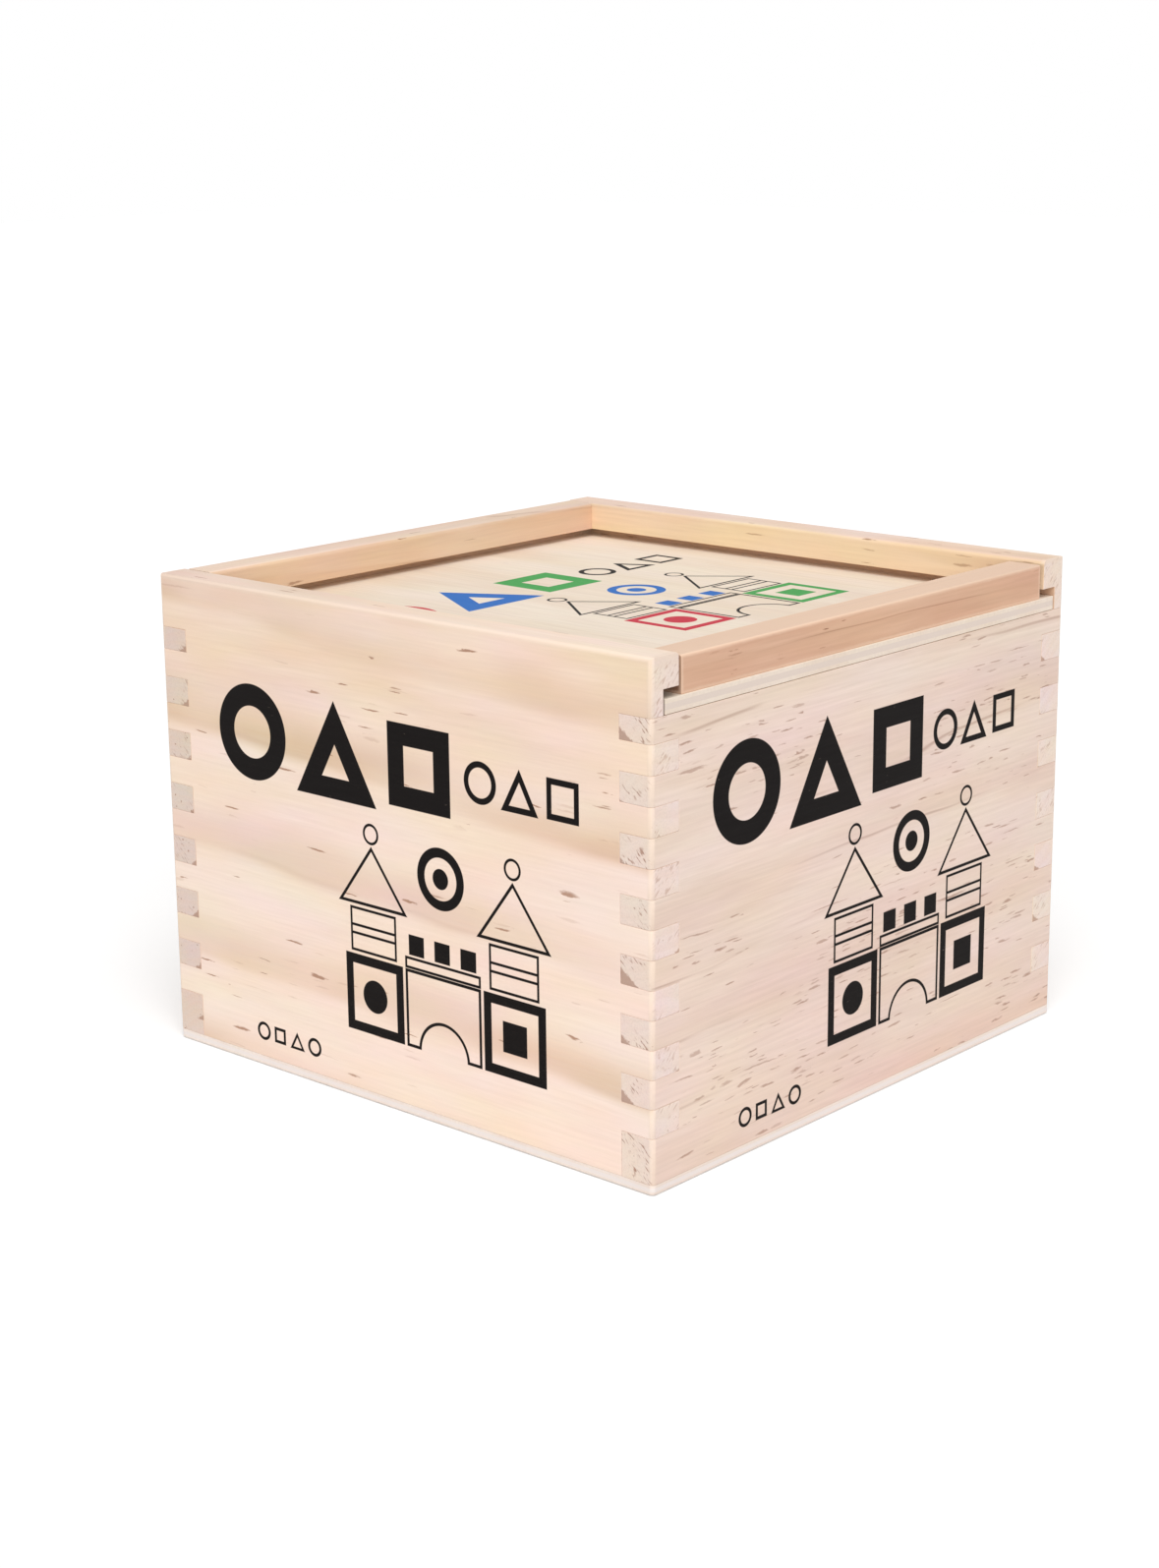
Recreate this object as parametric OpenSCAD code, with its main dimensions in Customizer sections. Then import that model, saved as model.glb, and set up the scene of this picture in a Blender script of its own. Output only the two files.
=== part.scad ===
// Boxed set of alphabet blocks: a finger-jointed pine box, a lid that slides out to the front
// over the lower front wall, and cubes in layers inside.
// Millimetres. +Z is up and the front faces -Y. The origin is the middle of the foot.

/* [Blocks] */
// Edge length of one cube
block_size = 30; // [28:1:32]
// Radius of the eased edges of a cube
block_round = 1.2; // [0.6:0.2:2]
// Depth of the routed frames and letters
rout_depth = 0.5; // [0.3:0.1:0.8]
// Outer width of the square frame routed into each face
frame_size = 24; // [22:0.5:25]
// Width of that frame's groove
frame_w = 1.8; // [1:0.2:2.4]
// Height of a routed letter, over its strokes
letter_h = 14; // [11:0.5:15]
// Width of a letter's strokes
stroke_w = 2.4; // [1.8:0.2:2.8]

/* [Box] */
// Thickness of the four walls
wall_t = 8; // [7:0.5:10]
// Thickness of the panel under the walls
bottom_t = 2; // [2:0.5:4]
// Free width left over in a row of cubes
row_play = 4; // [2:0.5:6]
// Free height between the top cubes and the lid
head_play = 2.5; // [1.5:0.5:4]
// Height of the side and back walls over the front wall
rim_h = 11.5; // [11:0.5:14]
// Radius of the eased outer edges of the box
arris = 1; // [0.4:0.1:1.4]

/* [Corner joints] */
// Height of one finger
finger_h = 6; // [5:0.5:6]
// Height of the front wall's top finger
top_finger_h = 5; // [4:0.5:6]

/* [Lid] */
// Thickness of the sliding panel
panel_t = 3; // [2.5:0.5:3.5]
// Height of the groove that the panel runs in
groove_h = 5; // [4.5:0.5:6]
// Depth of that groove
groove_d = 4.4; // [3.5:0.1:5]
// Free space at each side edge and at the rear edge of the panel
panel_play = 0.4; // [0.4:0.1:1]
// Height of the rail glued on the panel
rail_h = 7.5; // [5:0.5:7.5]
// Front-to-back depth of the rail
rail_d = 8.4; // [6:0.2:12]
// How far the rail's face stands back from the panel's front edge
rail_setback = 0.3; // [0:0.1:2]
// Free space at each end of the rail
rail_play = 1; // [0.4:0.1:1.5]

/* [Hidden] */
$fn = 48;
per_row = 4;
layers = 3;
per_layer = per_row * per_row;
block_count = per_layer * layers;
// Side-wall fingers at each corner, below the side wall's full-length top
side_fingers = 7;
// Air under the panel, so that it slides and doesn't rub
slide_gap = 0.1;

inner_w = per_row * block_size + row_play;
outer_w = inner_w + 2 * wall_t;
block_gap = row_play / (per_row + 1);
front_top = bottom_t + layers * block_size + head_play;
box_h = front_top + rim_h;
// Underside of the lowest side-wall finger
first_finger_z = front_top - top_finger_h - (2 * side_fingers - 1) * finger_h;
panel_z = front_top + slide_gap;
rail_z = panel_z + panel_t;
pine = "#f3dcc0";
ply = "#efe3d3";
rail_pine = "#dcb08c";
cube_pine = "#f0d6b0";

// One character a cube, a string for each layer from the bottom up, from the front left to the back right
layer_faces = ["AEIOU+-=LV01RSTN", "QWCTYUI4H6F8P9OJ", "K2MERA7G5SBXN3DZ"];

function two_digits(n) = n < 10 ? str("0", n) : str(n);
function block_name(i) = str("block_", two_digits(i + 1));

// ---- Letters: strokes on a grid 4 wide and 6 high. A path that ends where it began is a closed ring
// and runs clockwise. No stroke crosses itself.

grid_w = 4;
grid_h = 6;
ring_o = [[1, 0], [0, 1], [0, 5], [1, 6], [3, 6], [4, 5], [4, 1], [3, 0], [1, 0]];
bowl_p = [[0, 2.8], [0, 6], [3, 6], [4, 5], [4, 3.8], [3, 2.8], [0, 2.8]];
stem_p = [[0, 2], [0, 0]];

GLYPHS = [
    ["A", [[[0, 0], [0, 4.6], [1.4, 6], [2.6, 6], [4, 4.6], [4, 0]], [[0.6, 2.4], [3.4, 2.4]]]],
    ["B", [[[0, 0], [0, 6], [3, 6], [4, 5], [4, 4], [3, 3], [4, 2], [4, 1], [3, 0], [0, 0]],
           [[0.6, 3], [2.6, 3]]]],
    ["C", [[[4, 5], [3, 6], [1, 6], [0, 5], [0, 1], [1, 0], [3, 0], [4, 1]]]],
    ["D", [[[0, 0], [0, 6], [2.6, 6], [4, 4.6], [4, 1.4], [2.6, 0], [0, 0]]]],
    ["E", [[[4, 6], [0, 6], [0, 0], [4, 0]], [[0.6, 3], [3, 3]]]],
    ["F", [[[4, 6], [0, 6], [0, 0]], [[0.6, 3], [3, 3]]]],
    ["G", [[[4, 5], [3, 6], [1, 6], [0, 5], [0, 1], [1, 0], [3, 0], [4, 1], [4, 2.8], [2.6, 2.8]]]],
    ["H", [[[0, 0], [0, 6]], [[4, 0], [4, 6]], [[0.6, 3], [3.4, 3]]]],
    ["I", [[[1, 6], [3, 6]], [[2, 5.4], [2, 0.6]], [[1, 0], [3, 0]]]],
    ["J", [[[4, 6], [4, 1], [3, 0], [1, 0], [0, 1], [0, 2]]]],
    ["K", [[[0, 0], [0, 6]], [[4, 6], [4, 4.9], [2, 3], [4, 1.1], [4, 0]], [[0.6, 3], [1.8, 3]]]],
    ["L", [[[0, 6], [0, 0], [4, 0]]]],
    ["M", [[[0, 0], [0, 6]], [[4, 0], [4, 6]], [[0.4, 5.6], [2, 2.9], [3.6, 5.6]]]],
    ["N", [[[0, 0], [0, 6]], [[4, 0], [4, 6]], [[0.3, 5.4], [3.7, 0.6]]]],
    ["O", [ring_o]],
    ["P", [bowl_p, stem_p]],
    ["Q", [ring_o, [[2.4, 1.8], [3.9, 0.2]]]],
    ["R", [bowl_p, stem_p, [[2.6, 2.4], [4, 1.2], [4, 0]]]],
    ["S", [[[4, 5], [3, 6], [1, 6], [0, 5], [0, 4], [1, 3], [3, 3], [4, 2], [4, 1], [3, 0], [1, 0],
            [0, 1]]]],
    ["T", [[[0, 6], [4, 6]], [[2, 5.4], [2, 0]]]],
    ["U", [[[0, 6], [0, 1], [1, 0], [3, 0], [4, 1], [4, 6]]]],
    ["V", [[[0, 6], [0, 2.4], [2, 0.2], [4, 2.4], [4, 6]]]],
    ["W", [[[0, 0], [0, 6]], [[4, 0], [4, 6]], [[0.4, 0.4], [2, 3.1], [3.6, 0.4]]]],
    ["X", [[[0, 6], [0, 5], [4, 1], [4, 0]], [[4, 6], [4, 5], [0, 1], [0, 0]]]],
    ["Y", [[[0, 6], [0, 4.8], [2, 3], [4, 4.8], [4, 6]], [[2, 2.6], [2, 0]]]],
    ["Z", [[[0, 6], [4, 6], [4, 5], [0, 1], [0, 0], [4, 0]]]],
    ["0", [ring_o, [[2, 2.8], [2, 3.2]]]],
    ["1", [[[1.2, 6], [2, 6], [2, 0.6]], [[1, 0], [3, 0]]]],
    ["2", [[[0, 5], [1, 6], [3, 6], [4, 5], [4, 3.8], [0, 1], [0, 0], [4, 0]]]],
    ["3", [[[0, 5], [1, 6], [3, 6], [4, 5], [4, 4], [3, 3], [4, 2], [4, 1], [3, 0], [1, 0], [0, 1]],
           [[1.8, 3], [2.6, 3]]]],
    ["4", [[[0, 6], [0, 2.6], [4, 2.6]], [[3, 4.4], [3, 0]]]],
    ["5", [[[4, 6], [0, 6], [0, 3.4], [3, 3.4], [4, 2.4], [4, 1], [3, 0], [1, 0], [0, 1]]]],
    ["6", [[[1, 0], [0, 1], [0, 3.4], [3, 3.4], [4, 2.4], [4, 1], [3, 0], [1, 0]],
           [[4, 5], [3, 6], [1, 6], [0, 5], [0, 4]]]],
    ["7", [[[0, 6], [4, 6], [4, 4.6], [2, 2.4], [2, 0]]]],
    ["8", [[[1, 3], [0, 4], [0, 5], [1, 6], [3, 6], [4, 5], [4, 4], [3, 3], [4, 2], [4, 1], [3, 0],
            [1, 0], [0, 1], [0, 2], [1, 3]], [[1.4, 3], [2.6, 3]]]],
    ["9", [[[1, 2.6], [0, 3.6], [0, 5], [1, 6], [3, 6], [4, 5], [4, 2.6], [1, 2.6]],
           [[4, 2], [4, 1], [3, 0], [1, 0], [0, 1]]]],
    ["+", [[[2, 1.2], [2, 4.8]], [[0.2, 3], [3.8, 3]]]],
    ["-", [[[0.4, 3], [3.6, 3]]]],
    ["=", [[[0.4, 1.8], [3.6, 1.8]], [[0.4, 4.2], [3.6, 4.2]]]]
];

function glyph_paths(character) = GLYPHS[search([character], GLYPHS)[0]][1];
function unit(v) = v / norm(v);
function left_of(a, b) = let (d = unit(b - a)) [-d.y, d.x];
function mitre(before, after) = (before + after) / (1 + before * after);
function is_ring(path) = path[0] == path[len(path) - 1];
function reversed(list) = [for (i = [len(list) - 1:-1:0]) list[i]];

// The outline of a ring, moved out by reach, or in where reach is negative
function ring_side(path, reach) =
    let (m = len(path) - 1)
    [for (i = [0:m - 1])
        path[i] + reach * mitre(left_of(path[(i + m - 1) % m], path[i]), left_of(path[i], path[i + 1]))];

// One side of an open stroke whose ends run on by half its width
function open_side(path, reach) =
    let (last = len(path) - 1, half = abs(reach))
    [for (i = [0:last])
        i == 0 ? path[0] + reach * left_of(path[0], path[1]) - half * unit(path[1] - path[0])
        : i == last ? path[last] + reach * left_of(path[last - 1], path[last])
            + half * unit(path[last] - path[last - 1])
        : path[i] + reach * mitre(left_of(path[i - 1], path[i]), left_of(path[i], path[i + 1]))];

// ---- Shapes shared by the parts

module rounded_square(w, r) {
    square([w - 2 * r, w], center = true);
    square([w, w - 2 * r], center = true);
    for (x = [-1, 1], y = [-1, 1])
        translate([x, y] * (w / 2 - r)) circle(r);
}

// The outside of the box, with its four upright edges eased
module box_outline(z, h) {
    translate([0, 0, z]) linear_extrude(h) rounded_square(outer_w, arris);
}

// A board of a wall seen from its end, with its two top edges eased
module board_end(h) {
    translate([-wall_t / 2, 0]) square([wall_t, h - arris]);
    translate([-wall_t / 2 + arris, 0]) square([wall_t - 2 * arris, h]);
    for (x = [-1, 1])
        translate([x * (wall_t / 2 - arris), h - arris]) circle(arris);
}

// A board of the given length that runs along Y and stands on the bottom panel
module board(length, h) {
    translate([0, length / 2, bottom_t])
        rotate([90, 0, 0]) linear_extrude(length) board_end(h - bottom_t);
}

// The heights at both ends of a side wall that its own fingers fill, from the lowest up
module side_finger_zones(side) {
    for (j = [0:side_fingers - 1])
        translate([-side / 2, -outer_w, first_finger_z + 2 * j * finger_h])
            cube([side, 2 * outer_w, finger_h]);
}

// The heights that the front and back walls' fingers fill: all that is left below the front wall's top
module cross_finger_zones(side) {
    difference() {
        translate([-side / 2, -outer_w, 0]) cube([side, 2 * outer_w, front_top]);
        side_finger_zones(side + 1);
    }
}

// ---- Box

module side_wall() {
    wall_x = (outer_w - wall_t) / 2;
    corner_y = (inner_w + wall_t) / 2;
    groove_x = inner_w / 2 + groove_d;
    difference() {
        intersection() {
            translate([wall_x, 0, 0]) board(outer_w, box_h);
            box_outline(0, box_h);
        }
        for (end = [-1, 1])
            translate([wall_x, end * corner_y, 0])
                intersection() {
                    cross_finger_zones(wall_t + 1);
                    translate([0, 0, box_h / 2]) cube([wall_t + 1, wall_t, box_h], center = true);
                }
        translate([0, -outer_w / 2 - 1, front_top])
            cube([groove_x, outer_w / 2 + 1 + groove_x, groove_h]);
    }
}

module right_wall() {
    color(pine) side_wall();
}

module left_wall() {
    color(pine) mirror([1, 0, 0]) side_wall();
}

// The corner spaces at both ends of a front or back wall that the side walls fill
module side_wall_corners() {
    for (end = [-1, 1])
        translate([end * (inner_w + wall_t) / 2, 0, 0])
            side_finger_zones(wall_t);
}

module front_wall() {
    color(pine)
        difference() {
            intersection() {
                translate([-outer_w / 2, -outer_w / 2, bottom_t])
                    cube([outer_w, wall_t, front_top - bottom_t]);
                box_outline(0, box_h);
            }
            side_wall_corners();
        }
}

module back_wall() {
    groove_y = inner_w / 2 + groove_d;
    color(pine)
        difference() {
            intersection() {
                translate([0, (inner_w + wall_t) / 2, 0])
                    rotate([0, 0, 90]) board(outer_w, box_h);
                box_outline(0, box_h);
            }
            side_wall_corners();
            for (end = [-1, 1])
                translate([end * (inner_w + wall_t) / 2, 0, front_top + rim_h])
                    cube([wall_t, 2 * outer_w, 2 * rim_h], center = true);
            translate([-outer_w, 0, front_top])
                cube([2 * outer_w, groove_y, groove_h]);
        }
}

module bottom_panel() {
    color(ply) box_outline(0, bottom_t);
}

// ---- Lid

module lid_panel() {
    half_w = inner_w / 2 + groove_d - panel_play;
    color(ply)
        translate([-half_w, -outer_w / 2, panel_z])
            cube([2 * half_w, outer_w / 2 + half_w, panel_t]);
}

module lid_rail() {
    rail_w = inner_w - 2 * rail_play;
    rail_arris = arris / 2;
    color(rail_pine)
        translate([-rail_w / 2, -outer_w / 2 + rail_setback, rail_z])
            rotate([90, 0, 90])
                linear_extrude(rail_w)
                    union() {
                        square([rail_d, rail_h - rail_arris]);
                        translate([rail_arris, 0]) square([rail_d - 2 * rail_arris, rail_h]);
                        for (y = [rail_arris, rail_d - rail_arris])
                            translate([y, rail_h - rail_arris]) circle(rail_arris);
                    }
}

// ---- Blocks

module rounded_cube() {
    intersection_for (turn = [[0, 0, 0], [90, 0, 0], [0, 90, 0]])
        rotate(turn)
            linear_extrude(block_size, center = true) rounded_square(block_size, block_round);
}

module routed_frame() {
    difference() {
        square(frame_size, center = true);
        square(frame_size - 2 * frame_w, center = true);
    }
}

module routed_stroke(path, w) {
    if (is_ring(path))
        difference() {
            polygon(ring_side(path, w / 2));
            polygon(ring_side(path, -w / 2));
        }
    else
        polygon(concat(open_side(path, w / 2), reversed(open_side(path, -w / 2))));
}

module routed_letter(character) {
    cell = (letter_h - stroke_w) / grid_h;
    for (path = glyph_paths(character))
        translate([-grid_w * cell / 2, -grid_h * cell / 2])
            routed_stroke([for (point = path) point * cell], stroke_w);
}

// A cutter that sinks its flat shape into the face that the turn brings to the top
module rout(turn) {
    rotate(turn)
        translate([0, 0, block_size / 2 - rout_depth])
            linear_extrude(rout_depth + 1) children();
}

module alphabet_block(character) {
    top = [0, 0, 0];
    front = [90, 0, 0];
    difference() {
        rounded_cube();
        for (turn = [top, [180, 0, 0], front, [-90, 0, 0], [0, 90, 0], [0, -90, 0]])
            rout(turn) routed_frame();
        for (turn = [top, front])
            rout(turn) routed_letter(character);
    }
}

module block(i) {
    pitch = block_size + block_gap;
    column = i % per_row;
    row = floor(i / per_row) % per_row;
    layer = floor(i / per_layer);
    middle = (per_row - 1) / 2;
    color(cube_pine)
        translate([(column - middle) * pitch, (row - middle) * pitch, bottom_t + (layer + 0.5) * block_size])
            alphabet_block(layer_faces[layer][i % per_layer]);
}

left_wall();
right_wall();
front_wall();
back_wall();
bottom_panel();
lid_panel();
lid_rail();
for (i = [0:block_count - 1])
    block(i);
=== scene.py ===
# %% [markdown]
# # A boxed set of alphabet blocks
# The real thing is a small pine box with finger-jointed corners. A thin panel with a rail glued
# on it slides out to the front as the lid, and 48 painted cubes lie inside in three layers.
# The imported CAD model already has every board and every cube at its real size. This lesson loads
# it, gives each board its own wood, prints the walls and the lid, paints the cubes, and lights
# the set. Nothing here changes a size: a board that is wrong is mended in the CAD source.

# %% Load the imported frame
import math

import bpy
from mathutils import Matrix, Vector

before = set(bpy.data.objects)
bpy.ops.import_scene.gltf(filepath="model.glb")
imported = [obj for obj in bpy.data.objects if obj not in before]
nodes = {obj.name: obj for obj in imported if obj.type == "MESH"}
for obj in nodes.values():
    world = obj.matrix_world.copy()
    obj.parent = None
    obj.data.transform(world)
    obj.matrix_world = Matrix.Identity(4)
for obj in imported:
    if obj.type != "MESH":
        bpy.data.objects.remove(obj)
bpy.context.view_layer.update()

# %% [markdown]
# ## Colours as the eye sees them
# Wood colours are easiest to think of as the 0 to 255 numbers of a picture on a screen. Blender
# mixes light in linear numbers, so one small helper turns the first into the second. With the
# Standard view and a plain level of light, a board then renders about as its numbers say.

# %% A colour helper
FULL_LEVEL = 255
DARK_END, DARK_SLOPE = 0.04045, 12.92
CURVE_SHIFT, CURVE_POWER = 0.055, 2.4


def linear(level):
    share = level / FULL_LEVEL
    if share <= DARK_END:
        return share / DARK_SLOPE
    return ((share + CURVE_SHIFT) / (1 + CURVE_SHIFT)) ** CURVE_POWER


def tone(red, green, blue):
    return (linear(red), linear(green), linear(blue), 1.0)


print("a pale pine:", [round(part, 3) for part in tone(238, 216, 200)])

# %% [markdown]
# ## Helpers for node trees
# A material is a small machine of nodes. Adding each node by hand takes many lines, so `place`
# adds one, sets its options and feeds its inputs, with a plain value or with another node's
# output. `reckon` is the same for one Math node and `vector_math` for one Vector Math node.
# `times` multiplies, `split` takes a vector apart and `gather` puts one together, `mix` blends
# two colours, and `ramp` turns one range of numbers into another.

# %% Helpers that place and feed nodes
X, Y, Z = 0, 1, 2


def feed(tree, socket, value):
    if isinstance(value, bpy.types.NodeSocket):
        tree.links.new(value, socket)
    else:
        socket.default_value = value


def place(tree, kind, inputs=None, **options):
    node = tree.nodes.new("ShaderNode" + kind)
    for option, value in options.items():
        setattr(node, option, value)
    for name, value in (inputs or {}).items():
        feed(tree, node.inputs[name], value)
    return node


def reckon(tree, operation, *values):
    return place(tree, "Math", dict(enumerate(values)), operation=operation).outputs[0]


def vector_math(tree, operation, *values):
    node = place(tree, "VectorMath", dict(enumerate(values)), operation=operation)
    return node.outputs["Value" if operation in ("LENGTH", "DOT_PRODUCT") else "Vector"]


def times(tree, product, *factors):
    for factor in factors:
        product = reckon(tree, "MULTIPLY", product, factor)
    return product


def split(tree, vector):
    return place(tree, "SeparateXYZ", {0: vector}).outputs


def gather(tree, x=0.0, y=0.0, z=0.0):
    return place(tree, "CombineXYZ", {X: x, Y: y, Z: z}).outputs[0]


def mix(tree, share, first, second, blend="MIX"):
    node = place(
        tree, "Mix", {0: share, 6: first, 7: second}, data_type="RGBA", blend_type=blend)
    return node.outputs[2]


def ramp(tree, value, low, high, to_low=0.0, to_high=1.0, smooth=True):
    return place(
        tree, "MapRange",
        {"Value": value, "From Min": low, "From Max": high, "To Min": to_low, "To Max": to_high},
        interpolation_type="SMOOTHSTEP" if smooth else "LINEAR").outputs["Result"]


print("axes:", X, Y, Z)

# %% [markdown]
# ## Groups: machines used more than once
# Grain, worn edges, paint and prints turn up in many materials. Each is built once as a node
# group with named inputs and outputs, and then placed in a material with that material's values.

# %% Helpers that start and place a node group
SOCKETS = {"value": "NodeSocketFloat", "vector": "NodeSocketVector", "colour": "NodeSocketColor"}


def start_group(name, inputs, outputs):
    tree = bpy.data.node_groups.new(name, "ShaderNodeTree")
    for socket_name, (kind, preset) in inputs.items():
        socket = tree.interface.new_socket(
            socket_name, in_out="INPUT", socket_type=SOCKETS[kind])
        if preset is not None:
            socket.default_value = preset
    for socket_name, kind in outputs.items():
        tree.interface.new_socket(socket_name, in_out="OUTPUT", socket_type=SOCKETS[kind])
    return (
        tree, tree.nodes.new("NodeGroupInput").outputs, tree.nodes.new("NodeGroupOutput").inputs)


def use(tree, group, inputs):
    node = place(tree, "Group", node_tree=group)
    for name, value in inputs.items():
        feed(tree, node.inputs[name], value)
    return node.outputs


def tell(tree):
    print(tree.name + ":", len(tree.nodes), "nodes")


print("kinds of socket:", sorted(SOCKETS))

# %% [markdown]
# ## Pine, as a tree grows it
# A board is a slice out of a log. Growth rings are nested tubes round the log's heart, so a long
# face shows them as lazy bands and an end shows them as arcs. The group works that out in space:
# it measures how far each point lies from the heart, adds a slow sway, and cuts the distance
# into rings. An image would not turn the corner at a finger joint, while such rings do.
#
# On top of the rings come finer things: a blush of warmer wood in long clouds, fibres, and the
# short dark flecks that resin canals leave along the grain, which gather in clusters.
# All lengths are in millimetres: x runs along the grain, y across the face and z into the board.
# `Luck` is a jump that gives each board its own part of the endless noise.

# %% Helpers for clouds and bands
MIDDLING = 0.5


def noise(tree, where, detail, scale=1.0):
    return place(tree, "TexNoise", {"Vector": where, "Scale": scale, "Detail": detail}).outputs


def stretched(tree, where, stretch, detail):
    return noise(tree, vector_math(tree, "MULTIPLY", where, stretch), detail)


def swing(tree, draw, size):
    return times(tree, reckon(tree, "SUBTRACT", draw, MIDDLING), size)


def swell(tree, value, rise, fall):
    return times(tree, ramp(tree, value, *rise), ramp(tree, value, *fall, 1.0, 0.0))


print("draws swing about", MIDDLING)

# %% The rings
RING_INPUTS = {
    "Board": ("vector", None),
    "Luck": ("vector", (0.0, 0.0, 0.0)),
    "Heart": ("vector", (0.0, 0.0, 60.0)),
    "Ring Width": ("value", 6.0),
    "Sway": ("value", 8.0),
    "Lean": ("value", 0.03),
}
SWAY_STRETCH, PATCH_STRETCH = (0.008, 0.026, 0.026), (0.016, 0.04, 0.04)
DRAW_RANGE, PATCH_RANGE = (0.0, 1.0, 0.5, 1.0), (0.36, 0.62, 0.3, 1.0)
LATE_RISE, LATE_FALL = (0.42, 0.86), (0.88, 1.0)
LINE_RISE, LINE_FALL, LINE_PATCH = (0.87, 0.9), (0.9, 0.94), (0.5, 0.62)
YEAR_RISE, YEAR_FALL = (0.2, 0.8), (0.85, 1.0)
YEARS_IN_RING = 7.0
rings, ring_in, ring_out = start_group(
    "growth rings", RING_INPUTS, {"Late": "value", "Line": "value", "Yearly": "value"})
lucky = vector_math(rings, "ADD", ring_in["Board"], ring_in["Luck"])
sway = swing(rings, stretched(rings, lucky, SWAY_STRETCH, 3.0)[0], ring_in["Sway"])
off_heart = split(rings, vector_math(rings, "SUBTRACT", ring_in["Board"], ring_in["Heart"]))
flat_off = gather(rings, y=off_heart[Y], z=off_heart[Z])
radius = reckon(rings, "ADD", vector_math(rings, "LENGTH", flat_off), sway)
radius = reckon(rings, "ADD", radius, times(rings, off_heart[X], ring_in["Lean"]))
ring_phase = reckon(rings, "DIVIDE", radius, ring_in["Ring Width"])
ring_share = reckon(rings, "FRACT", ring_phase)
ring_draw = place(rings, "TexWhiteNoise", {
    "W": reckon(rings, "FLOOR", ring_phase)}, noise_dimensions="1D").outputs["Value"]
patchy = stretched(rings, lucky, PATCH_STRETCH, 2.0)[0]
strength = times(
    rings, ramp(rings, ring_draw, *DRAW_RANGE), ramp(rings, patchy, *PATCH_RANGE))
late = swell(rings, ring_share, LATE_RISE, LATE_FALL)
feed(rings, ring_out["Late"], times(rings, late, strength))
line = swell(rings, ring_share, LINE_RISE, LINE_FALL)
feed(rings, ring_out["Line"], times(rings, line, ramp(rings, patchy, *LINE_PATCH)))
year_share = reckon(rings, "FRACT", times(rings, ring_phase, YEARS_IN_RING))
feed(rings, ring_out["Yearly"], swell(rings, year_share, YEAR_RISE, YEAR_FALL))
tell(rings)

# %% The flecks
FLECK_INPUTS = {"Grain": ("vector", None), "Amount": ("value", 0.3), "Length": ("value", 6.0)}
FLECK_CROSS = 0.8
BEND_STRETCH, BEND_PUSH = (0.035, 0.3, 0.3), 3.0
CRUMPLE_STRETCH, CRUMPLE_ALONG, CRUMPLE_ACROSS = (0.55, 1.4, 1.4), 4.0, 0.5
CLUSTER_STRETCH, CLUSTER_RANGE = (0.024, 0.085, 0.085), (0.46, 0.64, 0.06, 1.0)
SIZE_SPREAD, SMALLEST = 0.22, 0.16
BODY_RANGE, DARK_RANGE = (0.5, 1.1, 1.0, 0.0), (0.0, 1.0, 0.2, 1.0)
flecks, fleck_in, fleck_out = start_group("resin flecks", FLECK_INPUTS, {"Mask": "value"})
bend = stretched(flecks, fleck_in["Grain"], BEND_STRETCH, 1.0)[0]
crumple = stretched(flecks, fleck_in["Grain"], CRUMPLE_STRETCH, 2.0)[0]
push = gather(
    flecks, times(flecks, crumple, CRUMPLE_ALONG),
    reckon(flecks, "MULTIPLY_ADD", bend, BEND_PUSH, times(flecks, crumple, CRUMPLE_ACROSS)))
cell_scale = gather(
    flecks, reckon(flecks, "DIVIDE", 1.0, fleck_in["Length"]), 1 / FLECK_CROSS, 1 / FLECK_CROSS)
pushed = vector_math(flecks, "ADD", fleck_in["Grain"], push)
cell = place(flecks, "TexVoronoi", {
    "Vector": vector_math(flecks, "MULTIPLY", pushed, cell_scale), "Scale": 1.0}).outputs
cluster = stretched(flecks, fleck_in["Grain"], CLUSTER_STRETCH, 2.0)[0]
crowd = times(flecks, ramp(flecks, cluster, *CLUSTER_RANGE), fleck_in["Amount"])
cell_draw = place(flecks, "SeparateColor", {0: cell["Color"]}).outputs
there = reckon(flecks, "LESS_THAN", cell_draw[0], crowd)
size = reckon(flecks, "MULTIPLY_ADD", cell_draw[1], SIZE_SPREAD, SMALLEST)
body = ramp(flecks, reckon(flecks, "DIVIDE", cell["Distance"], size), *BODY_RANGE)
dark = ramp(flecks, cell_draw[2], *DARK_RANGE)
feed(flecks, fleck_out["Mask"], times(flecks, there, body, dark))
tell(flecks)

# %% The pine group: its inputs, rings and flecks
PINE_INPUTS = {
    **RING_INPUTS,
    "Early": ("colour", tone(240, 218, 200)),
    "Late": ("colour", tone(226, 192, 160)),
    "Blush": ("colour", tone(236, 206, 188)),
    "Fleck": ("colour", tone(150, 112, 92)),
    "End": ("colour", tone(212, 198, 192)),
    "Figure": ("value", 0.6),
    "Lines": ("value", 0.2),
    "Mottle": ("value", 1.0),
    "Fibre": ("value", 1.0),
    "Fleck Amount": ("value", 0.3),
    "Fleck Length": ("value", 6.0),
    "Torn": ("value", 0.4),
    "On End": ("value", 0.0),
}
STREAK_JUMP, STREAK_LENGTH = (77.0, 31.0, 53.0), 22.0
STREAK_AMOUNT, STREAK_SHARE = 0.16, 0.7
pine, pine_in, pine_out = start_group(
    "pine", PINE_INPUTS, {"Color": "colour", "Height": "value", "Roughness": "value"})
grain = vector_math(pine, "ADD", pine_in["Board"], pine_in["Luck"])
ring_parts = use(pine, rings, {name: pine_in[name] for name in RING_INPUTS})
short_flecks = use(pine, flecks, {
    "Grain": grain, "Amount": pine_in["Fleck Amount"], "Length": pine_in["Fleck Length"]})
streaks = use(pine, flecks, {
    "Grain": vector_math(pine, "ADD", grain, STREAK_JUMP),
    "Amount": times(pine, pine_in["Fleck Amount"], STREAK_AMOUNT), "Length": STREAK_LENGTH})
streak_mask = times(pine, streaks["Mask"], STREAK_SHARE)
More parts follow.
